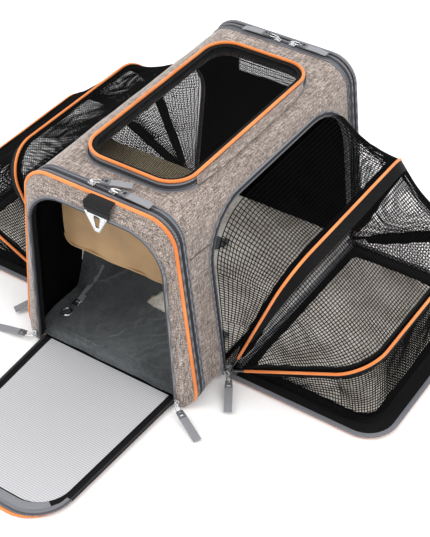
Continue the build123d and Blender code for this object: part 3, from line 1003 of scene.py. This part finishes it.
def makeHatch():
    size = {"wall": 2.6, "coilZ": 296.4, "net": 2.4, "border": 9.0, "frame": 10.4,
            "cord": 2.3}
    low, high = hatchLow[2], hatchHigh[2]
    wall = outline("hatch_wall_tape", hatchCorners(0.4, low), (38,) * 4)
    dropFace(wall)
    extrudeAll(wall, (0, 0, high - low), 2)
    thicken(wall, size["wall"], -1.0)
    place(wall, "hatch", "zip_tape", greyTape, "hatch_rim")
    middle = Vector(((hatchLow[0] + hatchHigh[0]) / 2, (hatchLow[1] + hatchHigh[1]) / 2, 0))
    bed = outline("hatch_zip_bed", hatchCorners(-0.2, size["coilZ"] - 2.0), (38.4,) * 4)
    dropFace(bed)
    extrudeAll(bed, (0, 0, 4.0), 1)
    thicken(bed, 0.9, -1.0)
    place(bed, "hatch", "zip_tape", coilNylon)
    path = rimOf(outline("rim", hatchCorners(-0.7, size["coilZ"]), (38.5,) * 4))
    teeth = toothed("hatch_zip_teeth", path, lambda spot: Vector((spot.x - middle.x, spot.y - middle.y, 0)))
    place(teeth, "hatch", "zip_tape", coilNylon)
    cord = outline("hatch_piping_cord", hatchCorners(2.2, high + 2.9), (36,) * 4)
    dropFace(cord)
    asCord(cord, size["cord"], 4)
    place(cord, "hatch", "orange_piping", orangeCord, "hatch_piping")
    border = outline("hatch_border", hatchCorners(1.5, high + 0.6), (36.5,) * 4)
    hollowFace(border, size["border"])
    thicken(border, 1.4)
    place(border, "hatch", "black_mesh", blackTape)
    net = netSheet("hatch_net", hatchCorners(8.0, high + 0.8), 30.5, size["net"], 0.95, 4.0)
    place(net, "hatch", "black_mesh", blackNet, "hatch_mesh")
    # tape of the zip's other half, sewn to the roof
    frameTape = outline("roof_zip_tape", hatchCorners(-2.4, cabin["height"] - 0.4), (40,) * 4)
    hollowFace(frameTape, size["frame"])
    thicken(frameTape, 1.5)
    place(frameTape, "root", "zip_tape", greyTape, "top_opening_zip")
    # cloth hinge along the hatch's right-hand side
    fold = gridPiece("hatch_hinge_cloth", 60, 6)
    for vertex in fold.data.vertices:
        along, down = vertex.co.x, vertex.co.y + 0.5
        y = -7.5 + 250 * along
        ends = 1 - (2 * abs(along)) ** 6
        x = hatchHigh[0] + 0.6 + 6.5 * down ** 1.6 * ends + 0.6 * noise.noise(Vector((y / 18, down, 2)))
        z = high + 0.8 - (high - cabin["height"] + 0.6) * math.sin(down * math.pi / 2)
        vertex.co = Vector((x, y, z)) * mm
    facesOut(fold)
    thicken(fold, 1.5, 0.0, 50)
    place(fold, "root", "heather_cloth", heather, "hatch_hinge_fold")


def makeSunshade():
    # A cloth strip under the roof whose front hangs down behind the doorway.
    size = {"cloth": 0.8, "turn": 13.0, "hem": 1.5, "hemUp": 2.5, "hemSteps": 60}
    roofLow, roofHigh = boxOf("sunshade_roof")
    dropLow, dropHigh = boxOf("sunshade_drop")
    half = roofHigh[0] - 1
    top = gridPiece("sunshade_top", 60, 34)
    for vertex in top.data.vertices:
        x, y = vertex.co.x * 2 * half, (roofLow[1] + roofHigh[1]) / 2 + vertex.co.y * (roofHigh[1] - roofLow[1])
        wave = 1.6 * noise.noise(Vector((x / 40, y / 26, 4)))
        vertex.co = Vector((x, y, roofLow[2] + 0.5 + wave)) * mm
    thicken(top, size["cloth"], 0.0, 60)
    # the roof strip gets the paler tan copy, painted light against the shade under the hatch net
    place(top, "root", "tan_nylon", tanPaintedLight, "sunshade_roof")
    drop = gridPiece("sunshade_drop_cloth", 70, 44)
    tall, turn = dropHigh[2] - dropLow[2], size["turn"]
    editAll(drop)
    mesh = bmesh.from_edit_mesh(drop.data)
    gone = [v for v in mesh.verts
            if v.co.y < 0 and not insideRound(v.co.x * 2 * half, v.co.y * tall, half, tall / 2, turn)]
    bmesh.ops.delete(mesh, geom=gone, context="VERTS")
    for vertex in mesh.verts:
        x, down = vertex.co.x * 2 * half, 0.5 - vertex.co.y
        wave = 4.4 * noise.noise(Vector((x / 30, down * 2.2, 9))) * down + 1.6 * math.sin(x / 30) * down ** 2
        vertex.co = Vector((x, dropLow[1] + 0.6 + wave, dropHigh[2] - down * tall)) * mm
    bmesh.update_edit_mesh(drop.data)
    editDone()
    thicken(drop, size["cloth"], 0.0, 60)
    points = []
    for step in range(size["hemSteps"] + 1):
        share = step / size["hemSteps"]
        x = -half + 2 * half * share
        edge = max(0.0, abs(x) - (half - turn))
        z = dropLow[2] + turn - math.sqrt(max(0.0, turn * turn - edge * edge))
        down = (dropHigh[2] - z) / tall
        wave = 2.6 * noise.noise(Vector((x / 34, down * 1.6, 9))) * down + 1.6 * math.sin(x / 30) * down ** 2
        points.append((x, dropLow[1] + 0.6 + wave, z + size["hemUp"]))
    hem = wireLine("sunshade_hem", points, size["hem"], False)
    place(hem, "sunshade", "tan_nylon", tanNylon)
    place(drop, "sunshade", "tan_nylon", tanNylon, "sunshade_drop")


def padFrom(name, corners, rounds, thick, crown, creases, finish, voxel=4.0, seed=1.0):
    # A soft pad: an outline given height, remeshed, crowned and creased.
    pad = outline(name, corners, rounds)
    extrudeAll(pad, (0, 0, thick))
    finishWith(pad, "REMESH", mode="VOXEL", voxel_size=voxel * mm)
    finishWith(pad, "SMOOTH", factor=0.5, iterations=4)
    finishWith(pad, "SUBSURF", levels=1, render_levels=1)
    floor = corners[0][2]
    cx = sum(c[0] for c in corners) / 4
    cy = sum(c[1] for c in corners) / 4
    hx = max(abs(c[0] - cx) for c in corners)
    hy = max(abs(c[1] - cy) for c in corners)

    def settle(spot):
        if spot.z < floor + thick * 0.4:
            return Vector()
        u, v = (spot.x - cx) / hx, (spot.y - cy) / hy
        rise = crown * max(0.0, (1 - u ** 4) * (1 - v ** 4))
        long = noise.noise(Vector((spot.x / 60 + spot.y / 90, spot.y / 34, seed)))
        short = noise.noise(Vector((spot.x / 22, spot.y / 30 + spot.x / 40, seed + 7)))
        return Vector((0, 0, rise * (0.6 + 0.8 * long) + creases * (1 - abs(long) * 4 if abs(long) < 0.25 else 0)
                       + creases * 0.5 * short))

    nudge(pad, settle)
    alone(pad)
    bpy.ops.object.shade_smooth()
    paint(pad, finish)
    return pad


def makeFloor():
    low, high = boxOf("floor_mat")
    corners = flatCorners((low[0] + 1, low[1] + 1), (high[0] - 1, high[1] - 1), low[2])
    mat = padFrom("floor_mat_fleece", corners, (16,) * 4, 8.4, 1.2, 0.9, lightFleece, 4.5, 3.0)
    place(mat, "root", "light_fleece", None, "floor_mat")
    place(makeBlanket(high[2]), "root", "dark_fleece", darkFleece, "fleece_blanket")


def makeBlanket(matTop):
    # A dark fleece blanket on the mat, from the doorway back along the left side, pushed up in folds.
    size = {"left": -124.0, "right": 110.0, "front": -220.0, "back": 62.0, "cell": 4.5, "slack": 0.09,
            "climb": 76.0, "climbFrom": -88.0, "climbWide": 36.0, "fold": 13.0, "doorway": 6.6, "frames": 34}
    wide, long = size["right"] - size["left"], size["back"] - size["front"]
    blanket = gridPiece("fleece_blanket_cloth", round(wide / size["cell"]), round(long / size["cell"]))
    editAll(blanket)
    mesh = bmesh.from_edit_mesh(blanket.data)
    for vertex in mesh.verts:
        x = (size["left"] + size["right"]) / 2 + vertex.co.x * wide
        y = (size["front"] + size["back"]) / 2 + vertex.co.y * long
        rise = within((y - size["front"]) / 40)
        up = within((size["climbFrom"] - x) / size["climbWide"]) ** 2 * within((y + 128) / 26)
        up *= within((size["back"] - y) / 50)
        fold = size["fold"] * math.exp(-((x + 62 - 0.25 * y) / 9) ** 2) * within((y + 170) / 60)
        height = size["doorway"] + (matTop + 3.2 - size["doorway"]) * rise ** 0.6 + size["climb"] * up + fold
        vertex.co = Vector((x, y, height)) * mm
    gone = []
    for vertex in mesh.verts:
        x, y = vertex.co.x / mm, vertex.co.y / mm
        edge = 12 * noise.noise(Vector((x / 40, y / 40, 2)))
        if y > -96 + edge and x > -22 + edge + 0.12 * (y + 96):
            gone.append(vertex)
    bmesh.ops.delete(mesh, geom=gone, context="VERTS")
    bmesh.update_edit_mesh(blanket.data)
    editDone()
    hold = blanket.vertex_groups.new(name="hold")
    for vertex in blanket.data.vertices:
        x, y = vertex.co.x / mm, vertex.co.y / mm
        if y < size["front"] + 5 or x < size["left"] + 5 or x > size["right"] - 5 and y < -100:
            hold.add([vertex.index], 1.0, "REPLACE")
    random.seed(5)
    for vertex in blanket.data.vertices:
        vertex.co.z += (0.8 + 2.2 * noise.noise(vertex.co / mm / 32) + random.uniform(0, 0.2)) * mm
    drapeOn(blanket, matTop, size["slack"], size["frames"])
    floorZ = (matTop + 2.4) * mm
    for vertex in blanket.data.vertices:
        if vertex.co.y > -178 * mm:
            vertex.co.z = max(vertex.co.z, floorZ)
    finishWith(blanket, "SUBSURF", levels=1, render_levels=1)
    thicken(blanket, 2.0, 1.0, 70)
    return blanket


def drapeOn(cloth, floorZ, slack, frames):
    # Lets the cloth grow by its slack and settle in folds on a flat bed.
    bpy.ops.mesh.primitive_plane_add(size=1, location=(0, 0, floorZ * mm))
    bed = bpy.context.object
    bed.modifiers.new("Collision", "COLLISION")
    bed.collision.thickness_outer = 0.001
    fabric = cloth.modifiers.new("Cloth", "CLOTH")
    fabric.settings.quality = 5
    fabric.settings.mass = 0.25
    fabric.settings.shrink_min = -slack
    fabric.settings.tension_stiffness = 25
    fabric.settings.compression_stiffness = 25
    fabric.settings.bending_stiffness = 1.5
    fabric.settings.vertex_group_mass = "hold"
    fabric.collision_settings.distance_min = 0.001
    fabric.collision_settings.use_self_collision = False
    fabric.point_cache.frame_start = 1
    fabric.point_cache.frame_end = frames
    for step in range(1, frames + 1):
        scene.frame_set(step)
    alone(cloth)
    bpy.ops.object.modifier_apply(modifier=fabric.name)
    bpy.data.objects.remove(bed)
    scene.frame_set(1)


def rimRing(name, outer, inner, rounds, thick, finish, bevel=0.6):
    # A flat ring between an outline and its inset, given thickness.
    ring = outline(name, outer, rounds)
    hollowFace(ring, inner)
    finishWith(ring, "SOLIDIFY", thickness=thick * mm, offset=0)
    easeEdges(ring, bevel)
    smooth(ring)
    paint(ring, finish)
    return ring


def twoSided(board):
    # black cloth on the upper face, heather on the face that ends up outside
    paint(board, blackTape, heather)
    for face in board.data.polygons:
        if face.normal.z < -0.4:
            face.material_index = 1


def makeDoor():
    size = {"binding": 8.6, "tip": 12.0, "greyFrom": -405.0, "greyTip": -446.0, "piping": 1.9}
    turn = doorPlan["round"]
    board = outline("door_board", doorCorners(7.2, 0.4), (0, 48, 48, 0))
    extrudeAll(board, (0, 0, 4.4))
    easeEdges(board, 0.8)
    smooth(board)
    twoSided(board)
    place(board, "front_door", "heather_cloth", None, "door_panel")
    corners = [(x, y + 9 if index in (1, 2) else y, z) for index, (x, y, z) in enumerate(doorCorners(13, 5.6))]
    lining = outline("door_ribbed_lining", corners, (0, 44, 44, 0))
    editAll(lining)
    bpy.ops.mesh.inset(thickness=4 * mm)
    mesh = bmesh.from_edit_mesh(lining.data)
    middle = max(mesh.faces, key=lambda face: face.calc_area())
    for vertex in middle.verts:
        vertex.co.z += 0.8 * mm
    bmesh.update_edit_mesh(lining.data)
    editDone()
    thicken(lining, 0.9, 0.0, 50)
    place(lining, "front_door", "ribbed_lining", ribLining, "door_lining")
    rim = rimRing("door_zip_binding", doorCorners(0.4, 5.2), size["binding"], (0, turn, turn, 0), 1.8, greyBinding)
    rim.data.materials.append(blackTape)
    for face in rim.data.polygons:
        if face.center.y > size["greyFrom"] * mm + 0.25 * max(0.0, face.center.x):
            face.material_index = 1
    place(rim, "front_door", "grey_binding", None, "door_zip")
    corners = doorCorners(size["binding"], 5.2)
    tip = rimRing("door_tip_tape", corners, size["tip"], (0, turn - 6, turn - 6, 0), 1.3, greyTape)
    tip.data.materials.append(blackTape)
    for face in tip.data.polygons:
        if face.center.y > size["greyTip"] * mm:
            face.material_index = 1
    place(tip, "front_door", "zip_tape", None)
    corners = doorCorners(7.5, 2.2, 4.0)
    corners = [(x, y - 8.1 if index in (1, 2) else y, z) for index, (x, y, z) in enumerate(corners)]
    edge = outline("door_edge_piping", corners, (0, 52, 52, 0))
    trimWhere(edge, lambda spot: spot.y > doorPlan["hinge"] - 6)
    asCord(edge, size["piping"], 4)
    place(edge, "front_door", "orange_piping", orangeCord, "door_piping")
    path = rimOf(outline("rim", doorCorners(2.6, 6.0), (0, 52, 52, 0)))
    path = openPath(path, lambda spot: spot.y > doorPlan["hinge"] - 3)
    teeth = toothed("door_zip_teeth", path, lambda spot: Vector((0, 0, 1)), closed=False, size=(1.5, 3.2, 1.2))
    place(teeth, "front_door", "zip_tape", coilNylon)


def makePanels():
    size = {"corner": 45.0, "binding": 6.8, "border": 10.0, "pad": 4.2, "piping": 1.9}
    turn = size["corner"]
    board = outline("right_panel_board", panelCorners(6.8, 0.4), (0, 38, 38, 0))
    extrudeAll(board, (0, 0, 4.6))
    easeEdges(board, 0.8)
    smooth(board)
    twoSided(board)
    corners = panelCorners(0.3, 5.0)
    rim = rimRing("right_panel_binding", corners, size["binding"], (0, turn, turn, 0), 1.9, greyBinding)
    inset = panelCorners(33, 5.1)
    inset = [(x - 14 if index in (0, 3) else x, y, z) for index, (x, y, z) in enumerate(inset)]
    pad = padFrom("right_panel_fleece", inset, (8, 26, 26, 8), size["pad"], 1.4, 1.8, lightFleece, 4.0, 11.0)
    border = rimRing("right_panel_border", panelCorners(23, 6.0), size["border"], (0, 28, 28, 0), 1.6, blackTape)
    edge = outline("right_panel_edge_piping", panelCorners(4.9, 2.3), (0, 40, 40, 0))
    trimWhere(edge, lambda spot: spot.x < sideHinge["x"] + 8)
    asCord(edge, size["piping"], 4)
    for side in ("right", "left"):
        pieces = [board, rim, pad, edge, border]
        if side == "left":
            pieces = [mirrored(piece, piece.name.replace("right", "left")) for piece in pieces]
        body = side + "_panel"
        place(pieces[0], body, "heather_cloth", None, side + "_panel")
        place(pieces[1], body, "grey_binding", greyBinding)
        place(pieces[2], body, "light_fleece", lightFleece, side + "_panel_pad")
        place(pieces[3], body, "orange_piping", orangeCord, side + "_panel_piping")
        place(pieces[4], body, "black_mesh", blackTape)


def makeFrontTrim():
    # The webbing tab lies on the ring's slope and holds a flat triangular ring.
    size = {"tab": 1.8, "tabLong": 20.0, "tabRound": 7.0, "slopeFrom": -216.4, "slope": 15.6, "ring": 1.6}
    low, high = boxOf("ring_tab")
    middle, half = (low[0] + high[0]) / 2, (high[0] - low[0]) / 2 - 1
    tab = gridPiece("webbing_tab", 24, 14)
    editAll(tab)
    mesh = bmesh.from_edit_mesh(tab.data)
    long = size["tabLong"]
    gone = [v for v in mesh.verts if v.co.x < 0 and not insideRound(
        v.co.x * 2 * half, v.co.y * long, half + 0.1, long / 2 + 0.1, size["tabRound"])]
    bmesh.ops.delete(mesh, geom=gone, context="VERTS")
    for vertex in mesh.verts:
        down = 0.5 - vertex.co.y
        y = size["slopeFrom"] - size["slope"] * math.sin(min(1.0, down * 1.25) * math.pi / 2)
        z = high[2] + 2.0 - 5.0 * down - 12.5 * down ** 2
        vertex.co = Vector((middle + vertex.co.x * 2 * half, y, z)) * mm
    bmesh.update_edit_mesh(tab.data)
    bpy.ops.mesh.select_all(action="SELECT")
    bpy.ops.mesh.normals_make_consistent(inside=False)
    editDone()
    thicken(tab, size["tab"], 0.0, 45)
    place(tab, "root", "black_webbing", webbing, "ring_tab")
    low, high = boxOf("triangle_ring")
    y, middle = (low[1] + high[1]) / 2 - 0.6, (low[0] + high[0]) / 2
    half, top, base = (high[0] - low[0]) / 2, high[2], low[2]
    foot, face = half * 0.2, y + size["ring"] / 2
    corners = [(middle - foot, face, base), (middle + foot, face, base), (middle + half, face, top),
               (middle - half, face, top)]
    ring = outline("triangle_ring_flat", corners, (2.6, 2.6, 3.6, 3.6), 6)
    extrudeAll(ring, (0, -size["ring"], 0))
    corners = [(middle - 1.5, y - 5, base + 6.5), (middle + 3.0, y - 5, base + 6.5),
               (middle + 6.5, y - 5, top - 6.0), (middle - 4.5, y - 5, top - 5.0)]
    cutHole(ring, (0, 10, 0), corners, (2.0, 2.0, 3.4, 3.4), 6)
    easeEdges(ring, 0.35)
    smooth(ring)
    place(ring, "triangle_ring", "plated_metal", nickel, "triangle_ring")


def makeSliderParts():
    # One slider, wire loop and clip, drawn at the origin: x along the tape or out along the pull.
    body = block((10, 7.8, 3.2), (0, 0, 1.9))
    pickWhere(body, lambda spot: spot.x < -4)
    bpy.ops.transform.resize(value=(1, 0.62, 1))
    bpy.ops.mesh.select_all(action="SELECT")
    bpy.ops.mesh.bevel(offset=0.8 * mm, segments=2, affect="EDGES")
    pickWhere(body, lambda spot: spot.z > 3.45)
    bpy.ops.mesh.inset(thickness=1.1 * mm, depth=-0.5 * mm)
    editDone()
    bridge = wireLine("bridge", [(-3.4, 0, 3.0), (-3.2, 0, 5.4), (-1.8, 0, 6.4), (0, 0, 6.7), (1.8, 0, 6.4),
                                 (3.2, 0, 5.4), (3.4, 0, 3.0)], 1.0, False)
    slider = joined("slider", [body, bridge])
    smooth(slider, 35)
    ring = [(6.2 + 7.6 * math.cos(a), (2.1 + 0.9 * (math.cos(a) > 0) * math.cos(a)) * math.sin(a) * 1.25, 0)
            for a in [math.tau * step / 28 for step in range(28)]]
    loop = wireLine("loop", ring, 0.75, True)
    clip = block((12, 9.4, 3.4), (17.5, 0, 0))
    pickWhere(clip, lambda spot: spot.x > 20)
    bpy.ops.transform.resize(value=(1, 1.18, 1))
    bpy.ops.mesh.select_all(action="SELECT")
    bpy.ops.mesh.bevel(offset=1.0 * mm, segments=2, affect="EDGES")
    editDone()
    for start, end, half in ((13.2, 15.0, 3.0), (17.0, 21.4, 2.6)):
        cutHole(clip, (0, 0, 10), flatCorners((start, -half), (end, half), -5), (0.6,) * 4, 3)
    smooth(clip, 35)
    return slider, loop, clip


def makeRibbon(name, length, width, droop, seed):
    # Grosgrain ribbon from the clip outwards, doubled back and stitched at its free end.
    ribbon = gridPiece(name, 26, 4)
    for vertex in ribbon.data.vertices:
        along, across = vertex.co.x + 0.5, vertex.co.y
        x = 20.5 + (length - 20.5) * along
        curl = 1.6 * noise.noise(Vector((x / 16, seed, 1))) * along
        twist = 1.3 * noise.noise(Vector((x / 22, seed, 6))) * across * along
        z = curl + twist - droop * along ** 2
        vertex.co = Vector((x, across * width, z)) * mm
    thicken(ribbon, 1.1, 0.0, 50)
    return ribbon


def makeSliders():
    slider, loop, clip = makeSliderParts()
    slant = math.radians(22)
    plans = {   # tape direction, outward direction, pull direction, pull length, droop
        "front_left": ((1, 0, 0), (0, 0, 1), (math.cos(slant), math.sin(slant), 0), 52, 1.5),
        "front_right": ((1, 0, 0), (0, 0, 1), (1, 0, 0), 58, 1.5),
        "rear_left": ((1, 0, 0), (0, 0, 1), (-1, 0, 0), 56, 1.5),
        "rear_right": ((1, 0, 0), (0, 0, 1), (1, 0, 0), 56, 1.5),
        "door_right": ((-doorTaper, 0, 1), (0, -1, 0), (0.88, -0.45, -0.15), 62, 1.0),
        "door_left": ((doorTaper, 0, 1), (0, -1, 0), (-0.985, -0.09, -0.15), 62, 1.0),
        "right_arch": ((-wallLean, 0, 1), (1, 0, wallLean), (0.52, -0.84, -0.17), 60, 1.0),
        "left_arch": ((wallLean, 0, 1), (-1, 0, wallLean), (-0.52, -0.84, -0.17), 60, 1.0),
    }
    centres = {joint["name"]: joint.get("pos_m") for joint in frame["joints"]}
    for seed, (name, (track, out, flow, length, droop)) in enumerate(plans.items()):
        centre = Vector(centres[name + "_pull_swing"])
        out, track, flow = Vector(out).normalized(), Vector(track).normalized(), Vector(flow).normalized()
        seat = Matrix((track, out.cross(track), out)).transposed().to_4x4()
        seat.translation = centre - out * 7 * mm
        up = Vector((0, 0, 1)) - flow * flow.z
        up.normalize()
        swing = Matrix((flow, up.cross(flow), up)).transposed().to_4x4()
        swing.translation = centre
        place(copied(slider, name + "_slider_body", seat), name + "_slider", "plated_metal", nickel,
              name + "_slider")
        place(copied(loop, name + "_wire_loop", swing), name + "_pull", "plated_metal", nickel)
        place(copied(clip, name + "_clip", swing), name + "_pull", "pull_ribbon", clipPlastic)
        ribbon = makeRibbon(name + "_ribbon", length, 11.0, droop, seed * 5.0)
        ribbon.data.transform(swing)
        place(ribbon, name + "_pull", "pull_ribbon", pullRibbon, name + "_pull")
    low, high = boxOf("hatch_slider")
    seat = Matrix(((0, -1, 0), (1, 0, 0), (0, 0, 1))).to_4x4()
    seat.translation = Vector(((low[0] + high[0]) / 2, (low[1] + high[1]) / 2, low[2] - 0.3)) * mm
    place(copied(slider, "hatch_slider_body", seat), "hatch_slider", "plated_metal", nickel, "hatch_slider")
    for part in (slider, loop):
        bpy.data.objects.remove(part)
    return clip


def makeTether(clip):
    size = {"clipSpan": 26.0, "width": 9.0, "thick": 1.3, "droop": 14.0, "ring": 7.0, "wire": 1.5}
    low, high = boxOf("safety_tether")
    x, top = (low[0] + high[0]) / 2, high[2] + 1
    strap = gridPiece("safety_tether_strap", 40, 4)
    for vertex in strap.data.vertices:
        along = vertex.co.x + 0.5
        y = low[1] + size["clipSpan"] + (high[1] - low[1] - size["clipSpan"]) * along
        lift = 1.5 * noise.noise(Vector((along * 3, 2, 8))) + size["droop"] * along ** 2
        vertex.co = Vector((x + vertex.co.y * size["width"] - 10 * along ** 1.5, y, top + lift)) * mm
    thicken(strap, size["thick"], 0.0, 50)
    place(strap, "root", "pull_ribbon", pullRibbon, "safety_tether")
    seat = Matrix(((0, -1, 0), (1, 0, 0), (0, 0, 1))).to_4x4()
    seat.translation = Vector((x, low[1] + 11, top)) * mm
    place(copied(clip, "safety_tether_clip", seat), "root", "plated_metal", nickel)
    bpy.ops.mesh.primitive_torus_add(major_radius=size["ring"] * mm, minor_radius=size["wire"] * mm,
                                     major_segments=36, minor_segments=10)
    ring = bpy.context.object
    ring.name = "safety_tether_ring"
    ring.data.transform(Matrix.Translation(Vector((x + 1, low[1] + 6, top + 1)) * mm))
    smooth(ring)
    place(ring, "root", "plated_metal", nickel)
    bpy.data.objects.remove(clip)


def finishCadNodes():
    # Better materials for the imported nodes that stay.
    for node, material in (("base_panel", baseCloth), ("base_board", boardFinish),
                           ("front_frame_wire", springSteel), ("rear_frame_wire", springSteel),
                           ("right_hoop_upper", springSteel), ("right_hoop_lower", springSteel),
                           ("left_hoop_upper", springSteel), ("left_hoop_lower", springSteel)):
        for slot in frame["nodes"][node].material_slots:
            slot.material = material


def makeStudio():
    bpy.ops.mesh.primitive_plane_add(size=8, location=(0, 0, -0.0006))
    floor = bpy.context.object
    floor.name = "studio_floor"
    paper, shader = newFinish("paleStudioFloor", Roughness=0.9)
    mottle = addNoise(paper, objectCoords(paper), 2.0, 2.0)
    colourBy(paper, shader, mottle, [(0.3, "#f3f3f3"), (0.7, "#f6f6f6")])
    paint(floor, paper)
    world = bpy.data.worlds.new("softStudio")
    scene.world = world
    world.use_nodes = True
    world.node_tree.nodes["Background"].inputs["Color"].default_value = linear("#ffffff")
    world.node_tree.nodes["Background"].inputs["Strength"].default_value = 0.95
    scene.view_settings.view_transform = "Standard"
    scene.view_settings.look = "Medium High Contrast"
    for spot, size, power in (((-1.2, -1.6, 2.4), 1.8, 26), ((1.9, -0.6, 2.2), 1.6, 20), ((0.2, 1.8, 2.3), 1.8, 16)):
        bpy.ops.object.light_add(type="AREA", location=spot)
        lamp = bpy.context.object
        lamp.data.size = size
        lamp.data.energy = power
        lamp.rotation_euler = (Vector((0, 0, 0.1)) - Vector(spot)).to_track_quat("-Z", "Y").to_euler()


def makeCamera():
    view = {"place": (0.8318, -1.1829, 1.2639), "azimuth": 34.36, "elevation": 40.75, "roll": -0.82, "lens": 88.7}
    az, el, roll = (math.radians(view[name]) for name in ("azimuth", "elevation", "roll"))
    ahead = Vector((-math.sin(az) * math.cos(el), math.cos(az) * math.cos(el), -math.sin(el)))
    right = Vector((math.cos(az), math.sin(az), 0))
    up = right.cross(ahead)
    side = right * math.cos(roll) + up * math.sin(roll)
    top = up * math.cos(roll) - right * math.sin(roll)
    camera = bpy.data.objects.new("camera", bpy.data.cameras.new("camera"))
    scene.collection.objects.link(camera)
    turn = Matrix((side, top, -ahead)).transposed().to_4x4()
    turn.translation = Vector(view["place"])
    camera.matrix_world = turn
    camera.data.lens = view["lens"]
    camera.data.sensor_width = 36
    scene.camera = camera


makeStudio()
makeCamera()
print("studio ready")
makeShell()
ringTrim("front", -211.5, -195.2, -214.0, orangeCord, "orange_piping", "front_piping", -204.6)
ringTrim("rear", 195.2, 211.5, 214.0, greyBinding, "grey_binding", "rear_piping", 204.6)
makeFrontRing()
makeRear()
makeArchZips()
print("cabin ready")
makeHatch()
makeSunshade()
makeFloor()
makeDoor()
makePanels()
makeFrontTrim()
print("panels ready")
makeNetting()
makeHoops()
print("netting ready")
makeTether(makeSliders())
finishCadNodes()
print("sliders ready")
